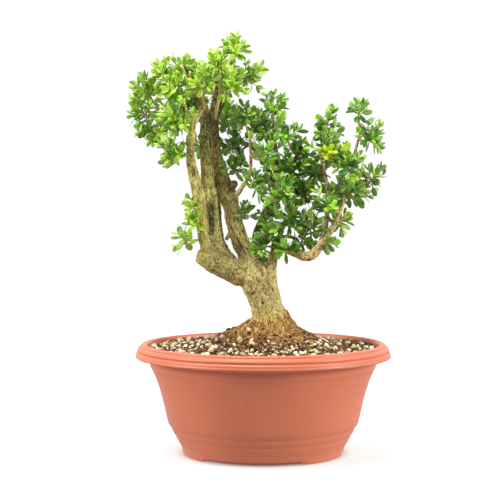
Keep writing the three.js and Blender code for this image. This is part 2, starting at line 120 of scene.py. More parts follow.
# The wood: routes of x, y, z and radius from root to end
TRUNK = [
    (6, 0, 128, 56), (6, 0, 150, 54), (8, 0, 160, 47), (9, 0, 167, 41), (10, 0, 173, 35),
    (9.6, 0, 179, 29.6), (9, 0, 186, 25.4), (5.8, 0, 195, 22.2), (3.8, 0, 205, 21), (-0.8, 0, 219, 22.6),
    (-5, 0, 232, 24.2), (-8, 0, 246, 25), (-15, 2, 262, 14),
]
LIMBS = [
    limb("olive", [
        (-6, 0, 241, 21), (-30, -3, 244.5, 16.8), (-50, -6, 255, 17.6), (-67, -7, 262, 16),
        (-79, -7, 267, 12.6), (-90, -7, 270, 9),
    ], cut=True),
    limb("straw", [
        (-62, -8, 262, 12), (-76, -10, 284, 10), (-84, -14, 321, 9), (-87, -15, 346, 8.4),
        (-92.5, -16, 371, 7.6), (-98.5, -18, 406, 6), (-96, -20, 447, 5), (-95, -22, 466, 4.5),
    ], cut=True),
    limb("straw", [(-96, -20, 444, 4), (-103, -22, 458, 3.4), (-107, -24, 474, 3.2)], cut=True),
    limb("straw", [(-96, -20, 447, 4), (-86, -20, 462, 3.4), (-80, -22, 474, 3.2)], cut=True),
    limb("olive", [
        (-44, -4, 256, 13.5), (-57, -8, 274, 11.5), (-64, -10, 290, 10.7), (-66, -10, 304, 10.6),
        (-70, -8, 346, 11), (-75, -5, 380, 10), (-78, -2, 419, 8.8), (-80, 6, 462, 7), (-86, 12, 492, 5),
    ]),
    limb("straw", [(-80, 5, 458, 6), (-92, 14, 488, 4.4), (-108, 14, 506, 3.2), (-122, 10, 516, 2.4)]),
    limb("straw", [(-79, 4, 452, 5), (-98, 18, 464, 4), (-124, 16, 468, 3), (-140, 8, 474, 2.4)]),
    limb("brown", [
        (-8, 3, 246, 18), (-20, 8, 268, 13.5), (-31, 10, 286, 12.2), (-36, 11, 302, 11.6),
        (-41, 12, 320, 12), (-44, 12, 336, 11.6), (-50, 12, 355, 12.8), (-63, 12, 397, 9.8),
        (-69, 12, 441, 8.4), (-68, 15, 470, 6), (-63, 14, 500, 4), (-58, 6, 536, 2.6),
    ]),
    limb("straw", [(-69, 14, 458, 5), (-54, 8, 482, 4), (-42, 4, 508, 3.2), (-40, 2, 534, 2.4)]),
    limb("knot", [(-51, 10, 362, 8), (-43, 4, 366, 7), (-38, -2, 369, 5)], bare=True),
    limb("pale", [
        (-46, 8, 346, 5), (-36, 0, 354, 4), (-28, -10, 365, 3.2), (-20, -20, 378, 2.8), (-17, -26, 392, 2.6),
        (-17, -30, 408, 2.5), (-17.5, -32, 429, 2.3),
    ]),
    limb("tan", [
        (-6, 4, 248, 13), (10, 6, 263, 8), (17, 2, 274, 6.3), (27, -6, 279, 5.8), (39, -14, 276, 5.9),
        (56, -20, 269.5, 6.2), (68, -22, 272.5, 6.3), (81, -20, 290, 4.6),
    ]),
    limb("tan", [
        (76, -21, 282, 4.6), (94, -20, 308, 3.7), (108, -16, 342, 3.1), (118, -10, 372, 2.8),
        (124, -6, 406, 2.5), (134, 0, 444, 2.2),
    ]),
    limb("tan", [
        (76, -21, 281, 5), (84, -13, 306, 4), (88, -5, 340, 3.2), (86, 2, 372, 3), (80, 6, 404, 2.6),
        (82, 6, 438, 2.2),
    ]),
    limb("russet", [
        (-6, 6, 250, 12), (-9, 16, 275, 8), (-8, 24, 301, 6.3), (4, 32, 330, 5.4), (14, 34, 354, 4.6),
        (20, 34, 380, 4.2), (18, 28, 408, 3.6), (14, 14, 440, 2.6),
    ]),
    limb("russet", [(7, 33, 338, 4.6), (26, 22, 356, 3.6), (38, 8, 382, 3), (46, 0, 408, 2.4)]),
    limb("russet", [(-8, 20, 286, 5), (8, 12, 298, 4), (24, 4, 308, 3.2), (44, -6, 322, 2.4)]),
    limb("russet", [(17, 34, 366, 4), (4, 40, 392, 3), (-18, 36, 424, 2.4)]),
    limb("pale", [
        (8, 0, 248, 9), (14, -4, 268, 6.5), (15.5, -6, 284, 5.3), (16, -7, 297, 4.9),
    ], cut=True, bare=True),
    limb("pale", [(-38, 8, 306, 4.4), (-45, 3, 301, 3.4), (-51, 0, 291, 2.8)], cut=True, bare=True),
]
SPRIG_LIMB = LIMBS[1]

# How much each region's leaves are brightened as painted light, how lime they are, the rise in lime towards
# the top left that paints light from above, and the limit of any colour
LEAF_PAINTED_LIGHT = {"left": 1.22, "sprig": 1.55, "middle": 1.1, "right": 1.1}
LIMENESS = {"left": 0.36, "sprig": 0.9, "middle": 0.06, "right": 0.14}
TOP_LIGHT_LIME, TOP_LIGHT_START, TOP_LIGHT_SPAN = 0.42, 440, 70
BRIGHTEST_LEAF = 0.8

# Ranges for the fold of a leaf along its midrib, the curl of its tip and edges, and its sway
LEAF_FOLD = (0.05, 0.32)
LEAF_CURL = (-0.04, 0.2)
LEAF_ROLL = (0.05, 0.3)
LEAF_SWAY = (-0.06, 0.06)

# Where a few leaves turn yellow: x, z and reach
YELLOWING = [
    (88, 408, 5), (111, 412, 6), (58, 368, 7), (110, 316, 11), (98, 300, 8), (-100, 342, 11), (150, 450, 6),
]

# Lobes of the trunk's foot as share, count and turn, and the thick roots, with heights by their distance from
# the middle
ROOT_LOBES = [(0.1, 5, 0.6), (0.06, 8, 2), (0.04, 13, 0)]
ROOT_LOBE_TOP = 190
ROOT_LOBE_FADE = 26
ROOT_COUNT = 15
ROOT_START = 16
ROOT_REACH = (58, 80)
ROOT_WIDTH = (3.6, 6.6)
ROOT_DEPTH = 3
ROOT_RADII = [16, 24, 34, 46, 60, 80]
ROOT_HEIGHTS = [183, 178, 170, 164, 157.5, 147]

# One thick pale root on the front of the mound, then the fine roots: their start, their reach, and the
# steepest step that one may take
PALE_ROOT = [(-9, -33, 172, 2.6), (-10, -41, 168, 2.4), (-11, -50, 162, 2), (-10, -58, 157, 1.4)]
FIBRE_COUNT = 1150
FIBRE_START = (25, 58)
FIBRE_REACH = (10, 34)
FIBRE_WIDTH = (0.5, 1.25)
FIBRE_DROP = 9.0
ABOVE_ROOTS = 205

# Bark: the size and depth of its lumps, ridges and pits, how far ridges run along the grain, the shift that
# keeps the limbs apart in the noise, and the radius from which a limb is carved in full
LUMP_SIZE, RIDGE_SIZE, PIT_SIZE = 24, 3.2, 2.4
LUMP_DEPTH, RIDGE_DEPTH, PIT_DEPTH = 1.3, 1.1, 0.4
GRAIN_LENGTH = 3.6
GRAIN_SHIFT = 17.0
FULL_GIRTH = 12

# Where the bark's colour changes: heights with the span of each change, patches as place, reach and strength
# (the shade ones are painted shade), then painted shadow in a hollow and on a flank between the left limbs
TRUNK_TOP, TRUNK_SPAN = 296, 50
PEAT_TOP, PEAT_SPAN = 177, 14
MOSS_RING, MOSS_RING_SPAN = 186, 10
MOSS_PATCHES = [((-84, -12, 270), 24, 0.6), ((-50, -16, 262), 30, 0.4)]
SHADE_START, SHADE_SPAN = 400, 30
SHADE_MIDDLE, SHADE_WIDTH, SHADE_BACK = -68, 28, -14
LIMB_SHADE_PATCH = ((-56, -14, 268), 34)
HOLLOW_X, HOLLOW_Z, HOLLOW_WIDTH, HOLLOW_HEIGHT = -70, 324, 5, 24
FLANK_HEIGHTS = [262, 285, 300, 346, 380]
FLANK_EDGES = [-42, -52, -55, -60, -66]
FLANK_BAND = (258, 378)
DARKEST = 0.86

# Painted shadow in narrow creases on the front of the wood, as x and z of both ends
CREASES = [((-36, 294), (-24, 272)), ((-4, 265), (5, 254)), ((-16, 218), (-12, 221))]

# Pale twigs in the upper left crown, from limb to tip
CROWN_TWIGS = [
    [(-66, 14, 455, 2.6), (-64, -6, 466, 2.3), (-60, -26, 482, 2), (-58, -34, 500, 1.8), (-57, -36, 519, 1)],
    [(-52, 7, 486, 2.4), (-50, -12, 492, 2), (-48, -28, 504, 1.9), (-47, -35, 524, 1.6), (-45, -36, 541, 1)],
    [(-104, 14, 502, 2.4), (-103, -6, 506, 2.1), (-105, -24, 514, 1.8), (-110, -32, 527, 1.5)],
    [(-92, 13, 488, 2.4), (-94, -8, 496, 2), (-97, -26, 505, 1.8), (-98, -35, 518, 1.4)],
    [(-120, 15, 468, 2.4), (-128, -4, 468, 2), (-136, -20, 474, 1.8), (-144, -26, 488, 1.5)],
]

# Leafy clumps by region: the middle of each and its reach with the leaves
CLUMPS = {
    "left": [
        (-166, -8, 466, 23), (-159, 10, 498, 22), (-136, -6, 514, 20), (-153, 6, 438, 22),
        (-121, -22, 411, 22), (-118, -44, 452, 25), (-118, -34, 490, 24), (-111, 2, 522, 22),
        (-82, -42, 502, 24), (-65, -16, 526, 22), (-39, -4, 550, 21), (-17, 10, 517, 20),
        (-40, -32, 503, 22), (-96, 46, 484, 26), (-94, 44, 518, 22), (-128, 38, 456, 25),
        (-54, 46, 462, 26), (-52, 38, 510, 23), (-90, 8, 422, 14),
    ],
    "sprig": [(-93, -14, 338, 12), (-93, -17, 314, 12), (-107, -14, 290, 14)],
    "middle": [
        (-24, -10, 456, 21), (0, 14, 450, 23), (13, -10, 472, 19), (31, -24, 438, 20), (50, 4, 412, 21),
        (4, -36, 408, 24), (40, -10, 388, 23), (-8, -20, 368, 20), (24, -38, 354, 24),
        (53, 12, 356, 22), (10, 8, 326, 18), (36, -20, 316, 23), (54, 2, 290, 18), (-40, 42, 425, 24),
        (18, 52, 384, 26), (-38, 4, 390, 18), (-24, 18, 327, 14), (-2, -14, 284, 15),
        (30, -22, 278, 12), (11, -14, 298, 16),
    ],
    "right": [
        (86, -4, 447, 21), (87, -24, 416, 23), (130, 4, 466, 13), (145, -8, 432, 21),
        (114, -30, 394, 22), (150, 2, 376, 18), (74, 18, 384, 22), (116, -8, 360, 22),
        (130, 12, 355, 15), (84, -30, 338, 21), (64, -2, 312, 19), (86, -16, 291, 16),
        (104, 32, 405, 18), (104, 30, 356, 22), (106, -6, 318, 14),
    ],
}


# Colours


def linear(red, green, blue):
    """A colour given in 0 to 255, as the linear values that the shader works in."""
    shares = np.array([red, green, blue]) / 255
    return np.where(shares > 0.04, ((shares + 0.055) / 1.055) ** 2.4, shares / 12.92)


def blended(a, b, share):
    return a + (b - a) * share


def clamped(value):
    return min(1.0, max(0.0, value))


def unit(vector):
    return vector / np.linalg.norm(vector)


BARK_TINTS = {
    "trunk": linear(190, 175, 112),
    "olive": linear(192, 182, 104),
    "brown": linear(218, 198, 124),
    "straw": linear(202, 187, 106),
    "russet": linear(150, 116, 78),
    "knot": linear(150, 128, 86),
    "pale": linear(204, 182, 126),
    "tan": linear(212, 184, 126),
    "root": linear(172, 138, 82),
}
POT_DARK = linear(212, 114, 79)
POT_LIGHT = linear(220, 122, 87)
POT_WORN = linear(230, 148, 116)
DARK_SOIL = linear(50, 32, 16)
LIGHT_SOIL = linear(108, 76, 46)
PALE_FLECK = linear(226, 208, 156)
DARK_STREAK = linear(140, 124, 88)
MOSS = linear(160, 134, 48)
CRACK = linear(84, 70, 34)
SAWN = linear(206, 176, 122)
# Near black of the painted shadow in the hollow, the creases and the flank
SHADOW_DARK = linear(36, 32, 22)
DARK_FIBRE = linear(132, 90, 46)
PALE_FIBRE = linear(216, 168, 88)
OPEN_ROOT = linear(206, 158, 72)
CROWN_SHADE = linear(142, 144, 132)
LIMB_SHADE = linear(206, 206, 214)
DEEP_LEAF = linear(18, 76, 8)
GREEN_LEAF = linear(88, 170, 26)
LIME_LEAF = linear(184, 222, 66)
BLUE_LEAF = linear(84, 138, 96)
YELLOW_LEAF = linear(214, 234, 22)
LEAF_UNDERSIDE = linear(160, 190, 110)
MIDRIB = linear(172, 196, 96)
YOUNG_STEM = linear(166, 178, 76)
TWIG_BARK = linear(204, 182, 108)
PALE_TWIG = linear(226, 206, 142)

# Loose grains: the cover is the radius of a thinner patch round the trunk, and the share outside and inside
GRAINS = {
    "pumice_grains": {
        "spacing": 8.2, "cover": (66, 0.66, 0.1), "detail": 1, "sizes": (2.8, 9.4), "flatness": (0.5, 0.9),
        "colours": (linear(176, 150, 98), linear(248, 236, 206)),
    },
    "bark_chips": {
        "spacing": 4.3, "cover": (52, 0.95, 0.3), "detail": 0, "sizes": (3.0, 8.4), "flatness": (0.3, 0.7),
        "colours": (linear(34, 20, 16), linear(136, 94, 60)),
    },
    "soil_crumbs": {
        "spacing": 4.4, "cover": (58, 0.85, 0.2), "detail": 0, "sizes": (1.4, 3.6), "flatness": (0.6, 0.95),
        "colours": (linear(92, 66, 42), linear(230, 208, 164)),
    },
}
COVER_MIDDLE = 6
QUICK_SPACING = 1.0

# Light: the glow of the floor by distance from the middle, and its colour, the strength of the surroundings
# in front, behind and below, the bands of direction where these blend, and the lamps as
# place, target, size in metres and power in watts
FLOOR_GLOW = [(96, 0.0), (122, 0.62), (400, 0.68), (1100, 0.92), (2500, 1.04)]
FLOOR_LIGHT = (1, 0.99, 0.98, 1)
FRONT_STRENGTH = 0.2
BACK_STRENGTH = 1.05
LOW_STRENGTH = 0.6
AROUND_BAND = (-0.6, 0.5)
ABOVE_BAND = (-0.34, -0.08)
LAMPS = {
    "overhead": ((-0.5, -0.6, 2.4), (0, 0, 0.3), 1.0, 47),
    "left_box": ((-2.3, -1.0, 1.0), (0, 0, 0.25), 0.9, 42),
    "right_box": ((2.3, -1.0, 0.9), (0, 0, 0.2), 0.9, 52),
}
CAMERA_PLACE = (0, -1.80962, 0.33727)
CAMERA_PITCH = 90 - 1.891
CAMERA_YAW = 0.572
CAMERA_LENS = 95.1


# Meshes


def new_mesh(name, points, loops, starts):
    mesh = bpy.data.meshes.new(name)
    mesh.vertices.add(len(points))
    mesh.vertices.foreach_set("co", (np.asarray(points, float) * MM).ravel())
    mesh.loops.add(len(loops))
    mesh.loops.foreach_set("vertex_index", np.asarray(loops, np.int32))
    mesh.polygons.add(len(starts))
    mesh.polygons.foreach_set("loop_start", np.asarray(starts, np.int32))
    mesh.update(calc_edges=True)
    mesh.shade_smooth()
    return mesh


def mesh_of_faces(name, points, faces):
    loops = [index for face in faces for index in face]
    starts = np.cumsum([0] + [len(face) for face in faces])[:-1]
    return new_mesh(name, points, loops, starts)


def add_object(name, data):
    added = bpy.data.objects.new(name, data)
    bpy.context.scene.collection.objects.link(added)
    return added


def add_piece(name, mesh, materials, nodes=()):
    piece = add_object(name, mesh)
    for material in materials:
        mesh.materials.append(material)
    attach(piece, "root")
    if nodes:
        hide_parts(*nodes)
    return piece


def set_tint(mesh, colours, domain):
    attribute = mesh.color_attributes.new(name="tint", type="FLOAT_COLOR", domain=domain)
    full = np.ones((len(colours), 4), np.float32)
    full[:, :3] = colours
    attribute.data.foreach_set("color", full.ravel())


def set_uv(mesh, name, places):
    layer = mesh.uv_layers.new(name=name)
    layer.data.foreach_set("uv", np.asarray(places, np.float32).ravel())


def vectors_of(mesh, name):
    vectors = np.empty(len(mesh.vertices) * 3)
    mesh.vertices.foreach_get(name, vectors)
    return vectors.reshape(-1, 3)


def smooth_route(route, spacing):
    """Rows along a smooth curve through the route, about one spacing apart."""
    route = np.asarray(route, float)
    padded = np.vstack([2 * route[0] - route[1], route, 2 * route[-1] - route[-2]])
    rows = []
    for i in range(1, len(padded) - 2):
        a, b, c, d = padded[i - 1 : i + 3]
        count = max(2, int(np.linalg.norm((c - b)[:3]) / spacing))
        for t in np.arange(count) / count:
            square, cube = 2 * a - 5 * b + 4 * c - d, 3 * b - a - 3 * c + d
            rows.append(0.5 * (2 * b + (c - a) * t + square * t**2 + cube * t**3))
    return np.array(rows + [route[-1]])


def cross_frames(centres):
    """Two unit vectors across a path at each of its points, with little twist."""
    tangents = np.gradient(centres, axis=0)
    tangents /= np.linalg.norm(tangents, axis=1)[:, None]
    first = np.cross([0.0, 1.0, 0.0] if abs(tangents[0][1]) < 0.8 else [1.0, 0.0, 0.0], tangents[0])
    firsts = []
    for tangent in tangents:
        first = unit(first - tangent * first.dot(tangent))
        firsts.append(first)
    firsts = np.array(firsts)
    return tangents, firsts, np.cross(tangents, firsts)


def ring_faces(rows, sides, first=0):
    """The faces between rings of points, from the number of the first point."""
    faces = []
    for low in range(first, first + (rows - 1) * sides, sides):
        for i in range(sides):
            j = (i + 1) % sides
            faces.append((low + i, low + j, low + sides + j, low + sides + i))
    return faces


def tube(route, sides, lobe=None):
    """A closed tube along a route whose last column is the radius."""
    route = np.asarray(route, float)
    _, across, aside = cross_frames(route[:, :3])
    angles = np.arange(sides) / sides * 2 * math.pi
    radii = route[:, 3][:, None] * np.ones(sides)
    if lobe:
        radii = radii * lobe(route[:, 2][:, None], angles[None, :])
    spokes = np.cos(angles)[None, :, None] * across[:, None] + np.sin(angles)[None, :, None] * aside[:, None]
    points = (route[:, None, :3] + radii[:, :, None] * spokes).reshape(-1, 3)
    first_cap, last_cap = tuple(range(sides))[::-1], tuple(range(len(points) - sides, len(points)))
    return points, [first_cap, *ring_faces(len(route), sides), last_cap]


def lathe(profile, sides, lift=None):
    """A closed turned body whose profile starts and ends on the axis. lift moves a height by its angle."""
    points = [(0, 0, profile[0][1])]
    for radius, height in profile[1:-1]:
        for i in range(sides):
            angle = i / sides * 2 * math.pi
            z = lift(radius, height, angle) if lift else height
            points.append((radius * math.cos(angle), radius * math.sin(angle), z))
    points.append((0, 0, profile[-1][1]))
    faces = ring_faces(len(profile) - 2, sides, 1)
    end = len(points) - 1
    for i in range(sides):
        j = (i + 1) % sides
        faces += [(0, 1 + j, 1 + i), (end - sides + i, end - sides + j, end)]
    return np.array(points, float), faces


def fractal(point, octaves=4):
    return noise.fractal(Vector(point), 0.6, 2.1, octaves)


# Materials


class NodeTree:
    """The nodes of a material or of the world, with short ways to add them."""

    def __init__(self, owner):
        owner.use_nodes = True
        self.nodes = owner.node_tree.nodes
        self.link = owner.node_tree.links.new

    def fill(self, node, inputs):
        """Links each input to the output of another node, or sets its own value."""
        for name, value in inputs.items():
            if isinstance(value, bpy.types.NodeSocket):
                self.link(value, node.inputs[name])
            else:
                node.inputs[name].default_value = (*value, 1) if isinstance(value, np.ndarray) else value

    def add(self, kind, inputs, **settings):
        node = self.nodes.new(kind)
        for name, value in settings.items():
            setattr(node, name, value)
        self.fill(node, inputs)
        return node.outputs

    def noise(self, scale, detail=4.0, stretch=None):
        place = self.add("ShaderNodeTexCoord", {})["Object"]
        if stretch:
            place = self.add("ShaderNodeMapping", {"Vector": place, "Scale": stretch})["Vector"]
        return self.add("ShaderNodeTexNoise", {"Vector": place, "Scale": scale, "Detail": detail})["Fac"]

    def ramp(self, factor, stops):
        """Turns a factor into a colour by stops, each a place and a colour or a grey."""
        ramp = self.nodes.new("ShaderNodeValToRGB")
        elements = ramp.color_ramp.elements
        while len(elements) < len(stops):
            elements.new(0.5)
        for element, (position, colour) in zip(elements, stops):
            element.position = position
            element.color = (*np.broadcast_to(colour, 3), 1)
        self.link(factor, ramp.inputs["Fac"])
        return ramp.outputs["Color"]

    def mix(self, kind, factor, a, b):
        inputs = {0: factor, 6: a, 7: b}
        return self.add("ShaderNodeMix", inputs, data_type="RGBA", blend_type=kind)[2]

    def change(self, value, start, end, kind="SMOOTHSTEP"):
        """Takes a value from one range to another, eased unless the kind is linear."""
        limits = zip(("From Min", "From Max", "To Min", "To Max"), (*start, *end))
        inputs = {"Value": value, **dict(limits)}
        return self.add("ShaderNodeMapRange", inputs, interpolation_type=kind)["Result"]

    def tint(self):
        return self.add("ShaderNodeAttribute", {}, attribute_name="tint")["Color"]

    def surface(self, colour, roughness, specular, height, strength, depth):
        """Fills the shader: colour, gloss, and a bump with a height, a strength and a depth in metres."""
        bump = {"Height": height, "Strength": strength, "Distance": depth}
        gloss = {"Roughness": roughness, "Specular IOR Level": specular}
        normal = self.add("ShaderNodeBump", bump)["Normal"]
        self.fill(self.nodes["Principled BSDF"], {"Base Color": colour, **gloss, "Normal": normal})


def new_material(name):
    material = bpy.data.materials.new(name)
    return material, NodeTree(material)


def pot_material():
    """Plastic with a faint cloud, worn streaks, dust and a fine orange-peel skin."""
    material, tree = new_material("terracotta_plastic")
    cloud = tree.noise(9.0, 6.0)
    base = tree.ramp(cloud, [(0.3, POT_DARK), (0.7, POT_LIGHT)])
    worn = tree.ramp(tree.noise(60.0, 5.0, (1.0, 1.0, 0.18)), [(0.62, 0.0), (0.78, 0.25)])
    dust = tree.ramp(tree.noise(420.0, 2.0), [(0.25, 0.93), (0.6, 1.0)])
    shine = tree.ramp(cloud, [(0.3, 0.36), (0.7, 0.48)])
    colour = tree.mix("MULTIPLY", 1.0, tree.mix("MIX", worn, base, POT_WORN), dust)
    tree.surface(colour, shine, 0.5, tree.noise(700.0, 2.0), 0.08, 0.0004)
    return material


def painted_material(name, scale, contrast, roughness, depth):
    """A rough material with the painted tint, broken up by fine grain."""
    material, tree = new_material(name)
    grain = tree.noise(scale, 6.0)
    shade = tree.ramp(grain, [(0.3, 1.0 - contrast), (0.7, 1.0 + contrast)])
    colour = tree.mix("MULTIPLY", 1.0, tree.tint(), shade)
    tree.surface(colour, roughness, 0.25, grain, 0.6, depth)
    return material


def bark_material():
    """Painted colours broken up by fine grain, with short pale flecks and darker streaks."""
    material, tree = new_material("boxwood_bark")
    grain = tree.noise(520.0, 6.0, (1.0, 1.0, 0.5))
    shade = tree.ramp(grain, [(0.32, 0.56), (0.68, 1.42)])
    pale = tree.ramp(tree.noise(640.0, 3.0, (1.0, 1.0, 0.6)), [(0.55, 0.0), (0.68, 0.6)])
    dark = tree.ramp(tree.noise(360.0, 3.0, (1.0, 1.0, 0.35)), [(0.55, 0.0), (0.68, 0.9)])
    colour = tree.mix("MULTIPLY", 1.0, tree.tint(), shade)
    colour = tree.mix("MULTIPLY", dark, tree.mix("MIX", pale, colour, PALE_FLECK), DARK_STREAK)
    tree.surface(colour, 0.9, 0.25, grain, 0.6, 0.0006)
    return material


def leaf_material():
    """A glossy leaf with a soft mottle and a pale midrib."""
    material, tree = new_material("boxwood_leaf")
    place = tree.add("ShaderNodeUVMap", {}, uv_map="leaf")["UV"]
    across = tree.add("ShaderNodeSeparateXYZ", {"Vector": place})["X"]
    off_middle = tree.add("ShaderNodeMath", {0: across, 1: 0.5}, operation="SUBTRACT")[0]
    away = tree.add("ShaderNodeMath", {0: off_middle}, operation="ABSOLUTE")[0]
    midrib = tree.ramp(away, [(0.02, 0.75), (0.07, 0.0)])
    mottle = tree.noise(260.0)
    shade = tree.ramp(mottle, [(0.3, 0.82), (0.72, 1.14)])
    gloss = tree.ramp(mottle, [(0.3, 0.18), (0.7, 0.32)])
    colour = tree.mix("MIX", midrib, tree.mix("MULTIPLY", 1.0, tree.tint(), shade), MIDRIB)
    tree.surface(colour, gloss, 0.42, midrib, 0.5, 0.0002)
    return material


POT_MATERIAL = pot_material()
SOIL_MATERIAL = painted_material("potting_soil", 380.0, 0.45, 0.95, 0.0006)
BARK_MATERIAL = bark_material()
TWIG_MATERIAL = painted_material("young_twig", 500.0, 0.2, 0.75, 0.0002)
LEAF_MATERIAL = leaf_material()


# Pot


def foot_cut(angle):
    """How far the bottom edge is cut away at an angle, from 0 on a foot to 1 between two feet."""
    degrees = math.degrees(angle)
    nearest = min(abs((degrees - middle + 180) % 360 - 180) for middle in FOOT_MIDDLES)
    return clamped((nearest - FOOT_SECTOR / 2) / FOOT_SLOPE)


def pot_height(radius, height, angle):
    if radius < FOOT_RING or height >= FOOT_TOP:
        return height
    bottom = FOOT_HEIGHT * foot_cut(angle)
    return bottom + height * (FOOT_TOP - bottom) / FOOT_TOP


def build_pot():
    mesh = mesh_of_faces("pot_shell", *lathe(UNDERSIDE + OUTER_WALL + INNER_WALL, POT_SIDES, pot_height))
    add_piece("pot_shell", mesh, [POT_MATERIAL], ["pot"])


# Soil


def soil_height(x, y):
    heap = np.interp(math.hypot(x - HEAP_MIDDLE, y), SOIL_HEAP_RADII, SOIL_HEAP_HEIGHTS)
    return heap + SOIL_BUMP_DEPTH * fractal((x / SOIL_BUMP, y / SOIL_BUMP, 0.3))


def build_soil():
    rings = [(radius, POT_HEIGHT) for radius in (*np.linspace(SOIL_RADIUS - 2, 3, SOIL_RINGS), 0)]

    def lift(radius, height, angle):
        on_top = height > POT_HEIGHT - 1
        return soil_height(radius * math.cos(angle), radius * math.sin(angle)) if on_top else height

    points, faces = lathe(SOIL_WALL + rings, SOIL_SIDES, lift)
    points[-1][2] = soil_height(0, 0)
    mesh = mesh_of_faces("soil_bed", points, faces)
    shades = np.array([0.5 + 0.5 * fractal(p / SOIL_PATCH) for p in points])
    set_tint(mesh, blended(DARK_SOIL, LIGHT_SOIL, np.clip(shades, 0, 1)[:, None]), "POINT")
    return add_piece("soil_bed", mesh, [SOIL_MATERIAL], ["soil"])


def ball(detail):
    """A round grain of unit radius, as points and triangles."""
    t = (1 + 5**0.5) / 2
    points = [
        (-1, t, 0), (1, t, 0), (-1, -t, 0), (1, -t, 0), (0, -1, t), (0, 1, t),
        (0, -1, -t), (0, 1, -t), (t, 0, -1), (t, 0, 1), (-t, 0, -1), (-t, 0, 1),
    ]
    points = [unit(np.array(p)) for p in points]
    faces = [
        (0, 11, 5), (0, 5, 1), (0, 1, 7), (0, 7, 10), (0, 10, 11), (1, 5, 9), (5, 11, 4), (11, 10, 2),
        (10, 7, 6), (7, 1, 8), (3, 9, 4), (3, 4, 2), (3, 2, 6), (3, 6, 8), (3, 8, 9), (4, 9, 5),
        (2, 4, 11), (6, 2, 10), (8, 6, 7), (9, 8, 1),
    ]
    for _ in range(detail):
        middles, split = {}, []
        for a, b, c in faces:
            for pair in ((a, b), (b, c), (c, a)):
                if frozenset(pair) not in middles:
                    middles[frozenset(pair)] = len(points)
                    points.append(unit(points[pair[0]] + points[pair[1]]))
            ab, bc, ca = (middles[frozenset(pair)] for pair in ((a, b), (b, c), (c, a)))
            split += [(a, ab, ca), (b, bc, ab), (c, ca, bc), (ab, bc, ca)]
        faces = split
    return np.array(points), np.array(faces)


def random_turn(rng):
    """A random rotation, as a 3 by 3 matrix."""
    turn = Quaternion([rng.gauss(0, 1) for _ in range(4)])
    return np.array(turn.normalized().to_matrix())


def cells(count):
    """The corner and size of each cell of a square grid for the count."""
    side = math.ceil(count**0.5)
    index = np.arange(count)
    return np.stack([index % side, index // side], 1) / side, 1 / side


def build_grains(name, rng, spots, kind):
    """Dented balls pressed into the bed, each of its own size, turn and colour."""
    base, triangles = ball(kind["detail"])
    points, tints = [], []
    for x, y in spots:
        size = blended(*kind["sizes"], rng.random() ** 1.4) / 2
        squash = np.array([1.0, rng.uniform(0.6, 1.0), rng.uniform(*kind["flatness"])])
        dents = np.array([1 + 0.3 * rng.uniform(-1, 1) for _ in base])
        place = (x, y, soil_height(x, y) + size * squash[2] * 0.45)
        points.append((base * dents[:, None] * squash * size) @ random_turn(rng).T + place)
        shade = rng.uniform(0.75, 1.2)
        tints.append(blended(*kind["colours"], rng.random()) * shade)
    grain_starts = np.arange(len(spots))[:, None, None] * len(base)
    loops = (triangles + grain_starts).ravel()
    mesh = new_mesh(name, np.concatenate(points), loops, np.arange(0, len(loops), 3))
    set_tint(mesh, np.repeat(tints, triangles.size, axis=0), "CORNER")
    corners = base[triangles]
    half = np.where(corners.mean(1)[:, 2] > 0, 0.25, 0.75)[:, None]
    local = np.stack([corners[:, :, 0] * 0.23 + half, corners[:, :, 1] * 0.46 + 0.5], 2).reshape(-1, 2)
    origins, cell = cells(len(spots))
    set_uv(mesh, "OFBake", (origins[:, None] + local * cell).reshape(-1, 2))
    add_piece(name, mesh, [SOIL_MATERIAL])


def scattered(rng, kind):
    """Spots on a jittered grid inside the pot's rim, thinner round the trunk's foot."""
    spacing = kind["spacing"] * QUICK_SPACING
    bare_radius, outside, inside = kind["cover"]
    spots = []
    steps = int(SOIL_RADIUS / spacing)
    for i in range(-steps, steps + 1):
        for j in range(-steps, steps + 1):
            x = (i + 0.5 * (j % 2) + rng.uniform(-0.42, 0.42)) * spacing
            y = (j + rng.uniform(-0.42, 0.42)) * spacing * 0.87
            cover = outside if math.hypot(x - COVER_MIDDLE, y) > bare_radius else inside
            if math.hypot(x, y) < SOIL_RADIUS - 3.5 and rng.random() < cover:
                spots.append((x, y))
    return spots


def build_loose_soil():
    rng = random.Random(7)
    for name, kind in GRAINS.items():
        build_grains(name, rng, scattered(rng, kind), kind)


# Wood


def root_lobe(heights, angles):
    """How far the trunk's foot swells and sinks, more so the lower it is."""
    depth = np.clip((ROOT_LOBE_TOP - heights) / ROOT_LOBE_FADE, 0, 1)
    return 1 + depth * sum(share * np.cos(count * angles + shift) for share, count, shift in ROOT_LOBES)


def root_routes(rng):
    """Thick surface roots that leave the trunk's foot and dive into the soil."""
    routes = []
    for i in range(ROOT_COUNT):
        angle = (i + rng.uniform(-0.3, 0.3)) / ROOT_COUNT * 2 * math.pi
        reach = rng.uniform(*ROOT_REACH)
        width = rng.uniform(*ROOT_WIDTH)
        bend = rng.uniform(-0.35, 0.35)
        route = []
        for share in np.linspace(0, 1, 7):
            radius = ROOT_START + (reach - ROOT_START) * share
            turn = angle + bend * share
            x, y = ROOT_MIDDLE + radius * math.cos(turn), radius * math.sin(turn)
            top = np.interp(radius, ROOT_RADII, ROOT_HEIGHTS)
            buried = soil_height(x, y) - ROOT_DEPTH
            route.append((x, y, blended(top, buried, share**3), width * (1 - 0.5 * share)))
        routes.append(route)
    return routes


